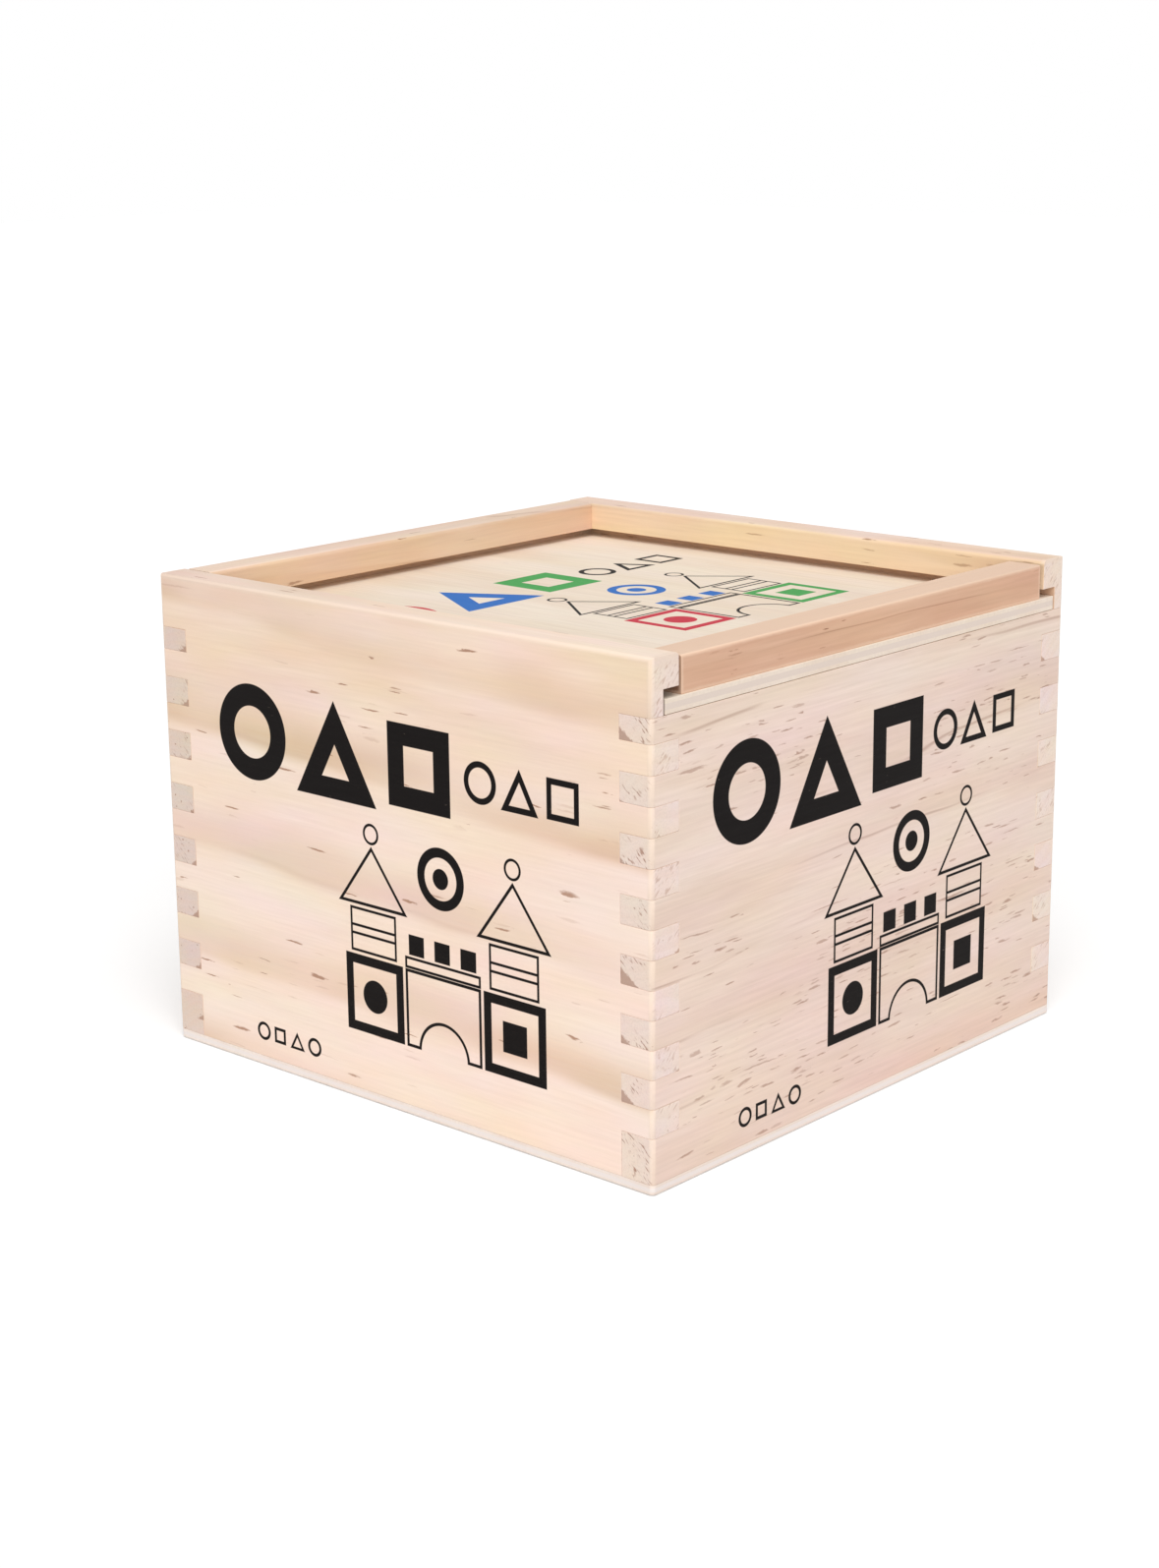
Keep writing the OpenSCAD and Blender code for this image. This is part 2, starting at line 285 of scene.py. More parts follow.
fleck_mask = reckon(pine, "MAXIMUM", short_flecks["Mask"], streak_mask)
tell(pine)

# %% The face of a board: blush, figure, mottle and fibres
CLOUD_STRETCH, CLOUD_RANGE = (0.014, 0.075, 0.075), (0.36, 0.66)
FIBRE_STRETCH, FIBRE_RANGE = (0.055, 1.3, 1.3), (0.28, 0.72)
FIBRE_DARK, FIBRE_LIGHT = (0.93, 0.915, 0.9), 1.035
FIGURE_RANGE = (0.2, 0.8, 0.7, 1.0)
MOTTLE_STRETCH, MOTTLE_GAIN = (0.03, 0.1, 0.1), (0.1, 0.16, 0.26)


def tint(tree, *parts):
    return place(tree, "CombineColor", dict(enumerate(parts))).outputs[0]


cloud = stretched(pine, grain, CLOUD_STRETCH, 4.0)[0]
fibre = stretched(pine, grain, FIBRE_STRETCH, 4.0)[0]
mottle = stretched(pine, grain, MOTTLE_STRETCH, 3.0)["Color"]
mottle_tint = vector_math(
    pine, "MULTIPLY_ADD", mottle, MOTTLE_GAIN, tuple(1 - gain / 2 for gain in MOTTLE_GAIN))
wood = mix(pine, ramp(pine, cloud, *CLOUD_RANGE), pine_in["Early"], pine_in["Blush"])
figure = times(
    pine, ring_parts["Late"], pine_in["Figure"], ramp(pine, fibre, *FIGURE_RANGE))
wood = mix(pine, figure, wood, pine_in["Late"])
ring_lines = times(pine, ring_parts["Line"], pine_in["Lines"])
wood = mix(pine, ring_lines, wood, pine_in["Fleck"])
wood = mix(pine, pine_in["Mottle"], wood, mottle_tint, "MULTIPLY")
fibre_tint = tint(pine, *(
    ramp(pine, fibre, *FIBRE_RANGE, dark_end, FIBRE_LIGHT, smooth=False)
    for dark_end in FIBRE_DARK))
wood = mix(pine, pine_in["Fibre"], wood, fibre_tint, "MULTIPLY")
tell(pine)

# %% The end of a board: yearly arcs, specks and fibres that the saw tore
SPECK_STRETCH, SPECK_RANGE = (2.2, 2.2, 2.2), (0.4, 0.7, 1.01, 0.95)
YEARLY_SHARE = 0.12
TEAR_STRETCH, TEAR_RANGE = (0.1, 0.35, 1.5), (0.54, 0.68)
PATCH_OF_TEARS, TEARS_RANGE = (0.05, 0.16, 0.16), (0.5, 0.6)
speck = stretched(pine, grain, SPECK_STRETCH, 2.0)[0]
end_shade = ramp(pine, speck, *SPECK_RANGE)
yearly = times(pine, ring_parts["Yearly"], YEARLY_SHARE)
end_wood = mix(pine, yearly, pine_in["End"], pine_in["Late"])
end_wood = mix(pine, 1.0, end_wood, tint(pine, end_shade, end_shade, end_shade), "MULTIPLY")
end_wood = mix(pine, pine_in["Mottle"], end_wood, mottle_tint, "MULTIPLY")
along_grain, across_face, into_board = split(pine, grain)[:3]
slanted = gather(
    pine, times(pine, along_grain, TEAR_STRETCH[X]),
    times(pine, reckon(pine, "ADD", across_face, into_board), TEAR_STRETCH[Y]),
    times(pine, reckon(pine, "SUBTRACT", across_face, into_board), TEAR_STRETCH[Z]))
tear = noise(pine, slanted, 1.2)[0]
tears = stretched(pine, grain, PATCH_OF_TEARS, 1.0)[0]
torn = times(
    pine, ramp(pine, tear, *TEAR_RANGE), ramp(pine, tears, *TEARS_RANGE), pine_in["Torn"])
end_wood = mix(pine, torn, end_wood, pine_in["Fleck"])
tell(pine)

# %% The board's colour, relief and roughness
LATE_RELIEF, SPECK_RELIEF = 0.25, 0.8
SMOOTHEST, FIBRE_ROUGH, END_ROUGH = 0.54, 0.16, 0.15
wood = mix(pine, pine_in["On End"], wood, end_wood)
feed(pine, pine_out["Color"], mix(pine, fleck_mask, wood, pine_in["Fleck"]))
relief = reckon(pine, "MULTIPLY_ADD", ring_parts["Late"], LATE_RELIEF, fibre)
relief = reckon(pine, "SUBTRACT", relief, fleck_mask)
end_relief = reckon(pine, "SUBTRACT", times(pine, speck, SPECK_RELIEF), torn)
feed(pine, pine_out["Height"], reckon(
    pine, "MULTIPLY_ADD", end_relief, pine_in["On End"], relief))
rough = reckon(pine, "MULTIPLY_ADD", fibre, FIBRE_ROUGH, SMOOTHEST)
feed(pine, pine_out["Roughness"], reckon(
    pine, "MULTIPLY_ADD", pine_in["On End"], END_ROUGH, rough))
tell(pine)


# %% A helper that grows a board from its row of values
def grow(tree, row):
    keys = {name: name.lower().replace(" ", "_") for name in PINE_INPUTS}
    return use(tree, pine, {name: row[key] for name, key in keys.items() if key in row})


print("a board has", len(PINE_INPUTS), "values")

# %% [markdown]
# ## Where a board shows its end
# The end of a board shows where a face looks along the grain. The boards, the rail and the cubes
# all need that mask, so it is a group too, fed with the way that the grain runs.

# %% The end grain group
ALONG = {X: (1.0, 0.0, 0.0), Y: (0.0, 1.0, 0.0)}
END_RANGE = (0.6, 0.9)
end_grain, end_in, end_out = start_group("end grain", {
    "Normal": ("vector", None), "Grain": ("vector", ALONG[X])}, {"Mask": "value"})
end_look = vector_math(end_grain, "DOT_PRODUCT", end_in["Normal"], end_in["Grain"])
feed(end_grain, end_out["Mask"], ramp(
    end_grain, reckon(end_grain, "ABSOLUTE", end_look), *END_RANGE))
tell(end_grain)

# %% [markdown]
# ## Worn edges, and painted shade on the walls' edges
# The outer edges of the box and the rail are eased with sandpaper, and the cubes' edges are worn,
# which leaves them paler and smoother than the faces. One group marks a band along such edges.
# On the walls, though, the band's tone sits a little under the faces' own: there it is partly the
# eased wood and partly painted shade that holds down the light on the rounded edge. For a
# box-shaped thing the nearest edge needs no ray tracing: on a face, one coordinate is at its
# limit, and the second largest one tells how far away the edge is.

# %% The edge group
EDGE_INPUTS = {
    "Place": ("vector", None),
    "Half Size": ("vector", (70.0, 70.0, 53.0)),
    "Reach": ("value", 1.6),
    "Ragged": ("value", 0.8),
}
RAG_SCALE, EDGE_BAND_RANGE = 0.35, (0.35, 1.0, 1.0, 0.0)


def second_largest(tree, parts):
    found = reckon(tree, "MINIMUM", parts[X], parts[Y])
    for one, other in ((Y, Z), (X, Z)):
        pair = reckon(tree, "MINIMUM", parts[one], parts[other])
        found = reckon(tree, "MAXIMUM", found, pair)
    return found


edges, edge_in, edge_out = start_group("edge band", EDGE_INPUTS, {"Mask": "value"})
inward = vector_math(
    edges, "SUBTRACT", vector_math(edges, "ABSOLUTE", edge_in["Place"]), edge_in["Half Size"])
second = second_largest(edges, split(edges, inward))
rag = noise(edges, edge_in["Place"], 3.0, RAG_SCALE)[0]
from_edge = reckon(edges, "SUBTRACT", swing(edges, rag, edge_in["Ragged"]), second)
feed(edges, edge_out["Mask"], ramp(
    edges, reckon(edges, "DIVIDE", from_edge, edge_in["Reach"]), *EDGE_BAND_RANGE))
tell(edges)

# %% [markdown]
# ## A printed pattern of plain shapes
# The walls and the lid carry a screen print. It is built from three plain forms, a plate, a disc
# and a gable. Each form is a small group that says how far a point is from the form's outline, in
# millimetres, with a minus sign inside. Such distances join with Minimum, and a line of any
# width comes from them, so the print stays sharp at any size, which a painted image would not.

# %% Three forms as distances
FORM_INPUTS = {
    "Print": ("vector", None),
    "Middle": ("vector", (0.0, 0.0, 0.0)),
    "Half": ("vector", (5.0, 5.0, 0.0)),
}


def start_form(name):
    tree, form_in, form_out = start_group(name + " form", FORM_INPUTS, {"Distance": "value"})
    shifted = vector_math(tree, "SUBTRACT", form_in["Print"], form_in["Middle"])
    return tree, shifted, form_in["Half"], form_out["Distance"]


plate, shifted, half, distance = start_form("plate")
beyond = vector_math(plate, "SUBTRACT", vector_math(plate, "ABSOLUTE", shifted), half)
beyond = split(plate, beyond)
feed(plate, distance, reckon(plate, "MAXIMUM", beyond[X], beyond[Y]))

disc, shifted, half, distance = start_form("disc")
half = split(disc, half)
feed(disc, distance, reckon(
    disc, "SUBTRACT", vector_math(disc, "LENGTH", shifted), half[X]))

gable, shifted, half, distance = start_form("gable")
shifted, half = split(gable, shifted), split(gable, half)
full_height = times(gable, half[Y], 2.0)
run = times(gable, reckon(gable, "ABSOLUTE", shifted[X]), full_height)
over = times(gable, reckon(gable, "SUBTRACT", shifted[Y], half[Y]), half[X])
slope_length = vector_math(gable, "LENGTH", gather(gable, half[X], full_height))
from_slope = reckon(gable, "DIVIDE", reckon(gable, "ADD", run, over), slope_length)
from_sill = reckon(gable, "SUBTRACT", times(gable, shifted[Y], -1.0), half[Y])
feed(gable, distance, reckon(gable, "MAXIMUM", from_slope, from_sill))
print("forms:", [tree.name for tree in (plate, disc, gable)])

# %% [markdown]
# The pattern itself is a toy castle of plain blocks, seen straight on, under a row of plain
# shapes. It is sorted into five screens, as a printer would: three for the bold parts, which the
# lid prints in red, blue and green, one for the fine lines and one for a few tally marks at the
# foot, which the lid leaves out. The walls print all five in black.
# Each row below is a form, the middle it has, half its width and height, and the width of its
# line. A line width of nothing means that the form is filled.

# %% The printer's screens
SCREENS = {
    "Red": [
        (disc, (-41.5, 75.0), (10.5, 10.5), 4.8),
        (plate, (-6.0, 23.5), (8.5, 8.5), 2.1),
        (disc, (-6.0, 23.5), (3.6, 3.6), 0),
    ],
    "Blue": [
        (gable, (-16.0, 75.0), (12.0, 10.5), 4.6),
        (disc, (14.0, 53.0), (6.6, 6.6), 2.1),
        (disc, (14.0, 53.0), (2.2, 2.2), 0),
        (plate, (14.0, 37.3), (2.2, 2.2), 0),
        (plate, (6.6, 37.3), (2.2, 2.2), 0),
        (plate, (21.4, 37.3), (2.2, 2.2), 0),
    ],
    "Green": [
        (plate, (8.5, 75.0), (8.8, 8.8), 4.6),
        (plate, (34.0, 23.5), (8.5, 8.5), 2.1),
        (plate, (34.0, 23.5), (3.3, 3.3), 0),
    ],
    "Line": [
        (plate, (-6.0, 37.5), (6.8, 4.9), 0.6),
        (plate, (34.0, 37.5), (6.8, 4.9), 0.6),
        (plate, (-6.0, 37.5), (6.8, 1.2), 0.6),
        (plate, (34.0, 37.5), (6.8, 1.2), 0.6),
        (gable, (-6.0, 49.6), (10.2, 6.6), 0.7),
        (gable, (34.0, 49.6), (10.2, 6.6), 0.7),
        (disc, (-6.0, 58.8), (2.3, 2.3), 0.6),
        (disc, (34.0, 58.8), (2.3, 2.3), 0.6),
        (plate, (14.0, 33.4), (10.8, 1.3), 0.6),
        (disc, (25.6, 75.0), (4.4, 4.4), 1.3),
        (gable, (36.2, 75.0), (5.0, 4.5), 1.3),
        (plate, (47.6, 75.0), (4.2, 4.2), 1.3),
    ],
    "Tally": [
        (disc, (-41.6, 7.8), (2.1, 2.1), 0.7),
        (plate, (-36.4, 7.8), (1.8, 1.8), 0.7),
        (gable, (-30.9, 7.9), (2.3, 2.0), 0.6),
        (disc, (-25.4, 7.8), (2.1, 2.1), 0.7),
    ],
}
ARCH_BLOCK, ARCH_OPENING, ARCH_LINE = ((14.0, 23.5), (10.8, 8.5)), ((14.0, 15.0), (6.6, 6.6)), 0.7
print({screen: len(forms) for screen, forms in SCREENS.items()}, "forms on the screens")

# %% The print group
INK_SOFTNESS = 0.07
castle, castle_in, castle_out = start_group(
    "castle print", {"Print": ("vector", None)}, {screen: "value" for screen in SCREENS})


def form_distance(form, middle, half):
    return use(castle, form, {
        "Print": castle_in["Print"], "Middle": (*middle, 0.0), "Half": (*half, 0.0)})[0]


def lined(distance, line):
    if not line:
        return distance
    centred = reckon(castle, "ABSOLUTE", reckon(castle, "ADD", distance, line / 2))
    return reckon(castle, "SUBTRACT", centred, line / 2)


for screen, forms in SCREENS.items():
    strokes = [lined(form_distance(form, middle, half), line) for form, middle, half, line in forms]
    if screen == "Line":
        block = form_distance(plate, *ARCH_BLOCK)
        opening = times(castle, form_distance(disc, *ARCH_OPENING), -1.0)
        strokes.append(lined(reckon(castle, "MAXIMUM", block, opening), ARCH_LINE))
    nearest = strokes[0]
    for stroke in strokes[1:]:
        nearest = reckon(castle, "MINIMUM", nearest, stroke)
    feed(castle, castle_out[screen], ramp(
        castle, nearest, -INK_SOFTNESS, INK_SOFTNESS, 1.0, 0.0))
tell(castle)

# %% [markdown]
# ## Ink that sits on wood
# Screen ink lies thin on open grain, so it misses tiny pits along the fibres. This group takes a
# clean mask and wears it by the board's own coordinates.

# %% The ink group
PIT_STRETCH, PIT_RANGE = (0.35, 1.5, 1.5), (0.2, 0.28, 0.8, 1.0)
ink, ink_in, ink_out = start_group(
    "printed ink", {"Mask": ("value", 0.0), "Board": ("vector", None)}, {"Mask": "value"})
pits = stretched(ink, ink_in["Board"], PIT_STRETCH, 3.0)[0]
feed(ink, ink_out["Mask"], times(ink, ink_in["Mask"], ramp(ink, pits, *PIT_RANGE)))
tell(ink)

# %% [markdown]
# ## Finishing a material
# Every material ends the same way: a colour, a relief and a roughness go into one shader. The
# relief passes through a Bump node, which tilts the light on fibres too fine to model. Its depth
# is in metres, while the groups work in millimetres.

# %% Helpers that start and end a material
MILLIMETRES = 1000.0
RELIEF_DEPTH = 0.00012
WOOD_SHINE = 0.12


def empty_tree(owner):
    owner.use_nodes = True
    owner.node_tree.nodes.clear()
    return owner.node_tree


def start_material(name):
    material = bpy.data.materials.new(name)
    tree = empty_tree(material)
    where = place(tree, "TexCoord").outputs
    spot = vector_math(tree, "MULTIPLY", where["Object"], (MILLIMETRES,) * 3)
    return material, tree, spot, where["Normal"]


def finish_material(tree, colour, relief, rough, strength=0.35):
    bump = place(tree, "Bump", {"Height": relief, "Strength": strength, "Distance": RELIEF_DEPTH})
    shader = place(tree, "BsdfPrincipled", {
        "Base Color": colour, "Roughness": rough, "Normal": bump.outputs[0],
        "Specular IOR Level": WOOD_SHINE})
    feed(tree, place(tree, "OutputMaterial").inputs["Surface"], shader.outputs[0])


def along(tree, spot, order):
    parts = split(tree, spot)
    return gather(tree, *(parts[axis] for axis in order))


def dress(node_name, material):
    target = nodes[node_name]
    target.data.materials.clear()
    target.data.materials.append(material)


print("relief:", RELIEF_DEPTH * MILLIMETRES, "mm deep")

# %% [markdown]
# ## The four walls
# Each wall is its own board, so each gets its own slice of the log. The front board is pinker and
# full of flecks. The left board is smooth cream with broad, soft tan bands. The inner faces are
# tinted warmer: partly the wood, which is left unsanded there, and partly painted warm light
# bounced between the walls.
# The grain of the front and back boards runs left to right and that of the side boards front to
# back. Each row also says how much of its end grain is torn, how dark the painted shade in the
# lid's groove is, and how large a chip its finger ends may lose.

# %% What the walls share
INK_BLACK = tone(7, 2, 1)
LID_INKS = {
    "Red": tone(200, 52, 70),
    "Blue": tone(44, 110, 190),
    "Green": tone(72, 160, 84),
    "Line": INK_BLACK,
}
BOX_MIDDLE, BOX_HALF = (0.0, 0.0, 53.0), (70.0, 70.0, 53.0)
# The walls' edge tone: partly eased wood, partly painted shade that holds down the light on the
# rounded edges.
SANDED_AND_SHADED_TONE = tone(236, 215, 196)

WALLS = {
    "front_wall": dict(
        grain=X, outward=(0.0, -1.0, 0.0), print_right=(1.0, 0.0, 0.0), luck=(310.0, 0.0, 40.0),
        heart=(0.0, 190.0, 12.0), ring_width=13.0, sway=16.0, lean=0.02, figure=0.3, lines=0.5,
        early=tone(236, 216, 203), late=tone(222, 193, 175), blush=tone(230, 206, 192),
        fibre=1.0, fleck=tone(168, 132, 115), fleck_amount=0.95, fleck_length=6.8, mottle=0.75,
        shade=(tone(229, 201, 186), 15.0, 3.0), end=tone(232, 213, 200), torn=0.9,
        inside=tone(222, 190, 164), groove=tone(128, 88, 66), groove_shade=0.0, chip=4.4),
    # The back board's end tone is darker: partly greyer end grain, partly painted shade on the
    # finger ends at the far left corner.
    "back_wall": dict(
        grain=X, outward=(0.0, 1.0, 0.0), print_right=(-1.0, 0.0, 0.0), luck=(-700.0, 25.0, 0.0),
        heart=(0.0, -90.0, 40.0), ring_width=12.0, sway=22.0, lean=0.05, figure=0.6, lines=0.5,
        early=tone(239, 217, 200), late=tone(227, 193, 166), blush=tone(234, 206, 188),
        fibre=0.8, fleck=tone(170, 132, 112), fleck_amount=0.4, fleck_length=8.0, mottle=1.0,
        shade=(tone(234, 206, 184), 20.0, 6.0), end=tone(223, 204, 190), torn=0.5,
        inside=tone(234, 204, 176), groove=tone(208, 160, 112), groove_shade=0.4, chip=2.0),
    "left_wall": dict(
        grain=Y, outward=(-1.0, 0.0, 0.0), print_right=(0.0, -1.0, 0.0), luck=(120.0, 8.0, 30.0),
        heart=(0.0, 169.9, -62.0), ring_width=25.5, sway=13.0, lean=0.05, figure=1.0, lines=0.1,
        early=tone(246, 226, 211), late=tone(216, 184, 156), blush=tone(244, 220, 202),
        fibre=0.55, fleck=tone(178, 140, 118), fleck_amount=0.3, fleck_length=9.0, mottle=1.0,
        shade=(tone(238, 211, 188), 66.0, 92.0), end=tone(236, 216, 206), torn=0.5,
        inside=tone(234, 208, 180), groove=tone(84, 52, 40), groove_shade=0.9, chip=1.5),
    "right_wall": dict(
        grain=Y, outward=(1.0, 0.0, 0.0), print_right=(0.0, 1.0, 0.0), luck=(-420.0, 60.0, 0.0),
        heart=(0.0, 210.0, -20.0), ring_width=19.0, sway=16.0, lean=0.04, figure=0.7, lines=0.15,
        early=tone(242, 221, 204), late=tone(222, 190, 162), blush=tone(239, 211, 192),
        fibre=0.7, fleck=tone(174, 136, 114), fleck_amount=0.25, fleck_length=8.5, mottle=1.0,
        shade=(tone(238, 209, 186), 60.0, 98.0), end=tone(238, 219, 208), torn=0.4,
        inside=tone(247, 227, 196), groove=tone(208, 160, 112), groove_shade=0.4, chip=2.0),
}
print("boards for", len(WALLS), "walls")

# %% [markdown]
# ## Where on a wall, its torn corners, and painted light and shade
# Four things are shared by all four walls, so each is a group.
# - The first one only says where a point lies: how far out across the box, in the band at the
#   foot or the top where the board's colour turns, on the inner face or on the printed one.
# - The groove that the lid slides in is coloured darker, as painted shade for its deep, narrow
#   gap. It is a band of height and depth, and it stops before the back board's outer face.
# - A saw tears the end grain where it leaves the wood, so most finger ends lose a corner at their
#   lower inner side. Fingers repeat at an even pitch, so the height's fraction finds the corner
#   of each, and white noise draws a size of chip for each. Real cuts would be too small to be
#   worth their faces.
# - The boards are painted a little lighter towards the front left corner and darker away from
#   it. This is painted light, as if the lamps stood nearest that corner.

# %% The wall place group
OUTER_FACE = 69.5
UPRIGHT_RANGE = (0.3, 0.7, 1.0, 0.0)
INNER_RANGE = (0.5, 0.8)
sides, side_in, side_out = start_group("wall place", {
    "Spot": ("vector", None), "Normal": ("vector", None), "Outward": ("vector", None),
    "Print Right": ("vector", None), "Shade From": ("value", 15.0), "Shade To": ("value", 3.0),
}, {"Across": "value", "Shade": "value", "Inner": "value", "Outer": "value", "Sheet": "vector"})
out_by = vector_math(sides, "DOT_PRODUCT", side_in["Spot"], side_in["Outward"])
feed(sides, side_out["Across"], reckon(sides, "ABSOLUTE", out_by))
feed(sides, side_out["Outer"], reckon(sides, "GREATER_THAN", out_by, OUTER_FACE))
height = split(sides, side_in["Spot"])[Z]
into_shade = reckon(sides, "SUBTRACT", height, side_in["Shade From"])
shade_depth = reckon(sides, "SUBTRACT", side_in["Shade To"], side_in["Shade From"])
shaded = ramp(sides, reckon(sides, "DIVIDE", into_shade, shade_depth), 0.0, 1.0)
looks_up = split(sides, vector_math(sides, "ABSOLUTE", side_in["Normal"]))[Z]
feed(sides, side_out["Shade"], times(sides, shaded, ramp(sides, looks_up, *UPRIGHT_RANGE)))
looks_out = vector_math(sides, "DOT_PRODUCT", side_in["Normal"], side_in["Outward"])
feed(sides, side_out["Inner"], ramp(sides, times(sides, looks_out, -1.0), *INNER_RANGE))
print_x = vector_math(sides, "DOT_PRODUCT", side_in["Spot"], side_in["Print Right"])
feed(sides, side_out["Sheet"], gather(sides, print_x, height))
tell(sides)

# %% The groove group
GROOVE_FROM, GROOVE_TO = 94.4, 99.6
GROOVE_LIP, GROOVE_BACK = 62.05, 66.6
PLACE_INPUTS = {"Spot": ("vector", None), "Across": ("value", 70.0)}


def between(tree, value, low, high):
    return times(
        tree, reckon(tree, "GREATER_THAN", value, low), reckon(tree, "LESS_THAN", value, high))


# Where the lid's groove is; the walls colour it with painted shade.
lid_groove, groove_in, groove_out = start_group("lid groove", PLACE_INPUTS, {"Mask": "value"})
groove_spot = split(lid_groove, groove_in["Spot"])
in_height = between(lid_groove, groove_spot[Z], GROOVE_FROM, GROOVE_TO)
in_depth = between(lid_groove, groove_in["Across"], GROOVE_LIP, GROOVE_BACK)
in_length = reckon(lid_groove, "LESS_THAN", groove_spot[Y], GROOVE_BACK)
feed(lid_groove, groove_out["Mask"], times(lid_groove, in_height, in_depth, in_length))
tell(lid_groove)

# %% The chip group
FINGER_PITCH, FINGER_HEIGHT = 12.0, 6.0
INNER_FACE = 62.0
CHIP_SLOPE, CHIP_SOFTNESS = 0.75, 0.5
CRUMB_SCALE, CRUMB_SIZE = 1.6, 1.5
CHIP_INPUTS = {**PLACE_INPUTS, "First Finger": ("value", 5.5), "Largest": ("value", 2.0)}
chipped, chip_in, chip_out = start_group("chipped corner", CHIP_INPUTS, {"Mask": "value"})
chip_spot = split(chipped, chip_in["Spot"])
from_inside = reckon(chipped, "SUBTRACT", chip_in["Across"], INNER_FACE)
above_first = reckon(chipped, "SUBTRACT", chip_spot[Z], chip_in["First Finger"])
step = reckon(chipped, "DIVIDE", above_first, FINGER_PITCH)
lift = times(chipped, reckon(chipped, "FRACT", step), FINGER_PITCH)
which_end = gather(
    chipped, reckon(chipped, "SIGN", chip_spot[X]), reckon(chipped, "SIGN", chip_spot[Y]),
    reckon(chipped, "FLOOR", step))
chip_draw = place(chipped, "TexWhiteNoise", {"Vector": which_end}).outputs["Value"]
crumbs = noise(chipped, chip_in["Spot"], 2.0, CRUMB_SCALE)[0]
chip_reach = reckon(
    chipped, "MULTIPLY_ADD", chip_draw, chip_in["Largest"], swing(chipped, crumbs, CRUMB_SIZE))
chip_line = reckon(chipped, "MULTIPLY_ADD", from_inside, CHIP_SLOPE, lift)
chip = ramp(chipped, reckon(chipped, "SUBTRACT", chip_reach, chip_line), 0.0, CHIP_SOFTNESS)
feed(chipped, chip_out["Mask"], times(
    chipped, chip, reckon(chipped, "LESS_THAN", lift, FINGER_HEIGHT)))
tell(chipped)

# %% The painted corner light group
FAR_CORNER, NEAR_CORNER = -45.0, 68.0
LEAST_PAINTED_LIGHT, MOST_PAINTED_LIGHT = 0.965, 1.035
TO_CORNER = (-0.5, -0.5, 0.0)
# Painted light: a board is brighter towards the front left corner and darker away from it.
painted_corner_light, corner_light_in, corner_light_out = start_group(
    "painted corner light", {"Color": ("colour", None), "Spot": ("vector", None)},
    {"Color": "colour"})
near = vector_math(painted_corner_light, "DOT_PRODUCT", corner_light_in["Spot"], TO_CORNER)
painted_light = ramp(painted_corner_light, near, FAR_CORNER, NEAR_CORNER, LEAST_PAINTED_LIGHT, MOST_PAINTED_LIGHT, smooth=False)
painted_light = tint(painted_corner_light, painted_light, painted_light, painted_light)
feed(painted_corner_light, corner_light_out["Color"], mix(
    painted_corner_light, 1.0, corner_light_in["Color"], painted_light, "MULTIPLY"))
tell(painted_corner_light)

# %% One wall's material
BOARD_ORDER = {X: (X, Z, Y), Y: (Y, Z, X)}
FIRST_FINGER = {X: 5.5, Y: 11.5}
CHIP_SHARE, SANDED_AND_SHADED_SHARE, SANDED_AND_SHADED_REACH = 0.75, 0.55, 1.3


def wall_material(name, board):
    material, tree, spot, normal = start_material(name.replace("_", " ") + " pine")
    grain = board["grain"]
    board_place = along(tree, spot, BOARD_ORDER[grain])
    on_end = use(tree, end_grain, {"Normal": normal, "Grain": ALONG[grain]})["Mask"]
    shade, shade_from, shade_to = board["shade"]
    where = use(tree, sides, {
        "Spot": spot, "Normal": normal, "Outward": board["outward"],
        "Print Right": board["print_right"], "Shade From": shade_from, "Shade To": shade_to})
    early = mix(tree, where["Shade"], board["early"], shade)
    wood = grow(tree, {**board, "board": board_place, "early": early, "on_end": on_end})
    chips = use(tree, chipped, {
        "Spot": spot, "Across": where["Across"], "First Finger": FIRST_FINGER[grain],
        "Largest": board["chip"]})["Mask"]
    chips = times(tree, chips, times(tree, on_end, CHIP_SHARE))
    colour = mix(tree, chips, wood["Color"], board["fleck"])
    groove = use(tree, lid_groove, {"Spot": spot, "Across": where["Across"]})["Mask"]
    # Inner faces: warmer, partly the unsanded wood and partly painted warm bounce light.
    inner_tint_share = times(tree, where["Inner"], reckon(tree, "SUBTRACT", 1.0, groove))
    warmth = tuple(inner / outer for inner, outer in zip(board["inside"], board["early"]))
    colour = mix(tree, inner_tint_share, colour, warmth, "MULTIPLY")
    # Painted light: brighter towards the front left corner.
    colour = use(tree, painted_corner_light, {"Color": colour, "Spot": spot})["Color"]
    # Painted shade: the lid's groove is coloured darker, most on the left board.
    colour = mix(tree, times(tree, groove, board["groove_shade"]), colour, board["groove"])
    # Edge band: partly eased wood, partly painted shade over the rounded edge's highlight.
    edge_band = use(tree, edges, {
        "Place": vector_math(tree, "SUBTRACT", spot, BOX_MIDDLE), "Half Size": BOX_HALF,
        "Reach": SANDED_AND_SHADED_REACH})["Mask"]
    colour = mix(tree, times(tree, edge_band, SANDED_AND_SHADED_SHARE), colour, SANDED_AND_SHADED_TONE)
    screens = use(tree, castle, {"Print": where["Sheet"]})
    printed = screens["Tally"]
    for screen in LID_INKS:
        printed = reckon(tree, "MAXIMUM", printed, screens[screen])
    inked = use(tree, ink, {
        "Mask": times(tree, printed, where["Outer"]), "Board": board_place})["Mask"]
    colour = mix(tree, inked, colour, INK_BLACK)
    finish_material(tree, colour, wood["Height"], wood["Roughness"])
    return material


for wall_name, wall_board in WALLS.items():
    dress(wall_name, wall_material(wall_name, wall_board))
print("walls dressed:", sorted(WALLS))

